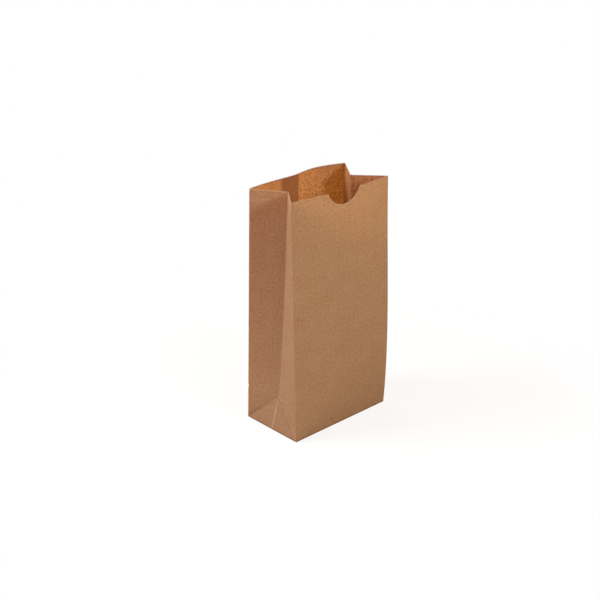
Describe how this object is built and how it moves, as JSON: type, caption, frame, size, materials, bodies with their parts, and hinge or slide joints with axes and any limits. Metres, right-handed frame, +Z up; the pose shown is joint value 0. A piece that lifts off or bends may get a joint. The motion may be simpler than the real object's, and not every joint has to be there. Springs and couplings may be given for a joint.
{
  "type": "paper lunch bag",
  "caption": "Brown kraft paper lunch bag standing open, with gusseted sides, a folded flat base, a glued back seam and a thumb notch.",
  "frame": {"origin": "centre of the folded base, on the plane the bag stands on", "axes": "+Z up towards the open mouth, -Y towards the front panel with the thumb notch, +X along the front panel to the right as seen from the front"},
  "size_m": [0.133, 0.0799, 0.2624],
  "materials": {
    "kraft_paper": "uncoated machine-finished kraft, matt"
  },
  "bodies": {
    "root": {"paper_bag": "kraft_paper"}
  },
  "joints": []
}
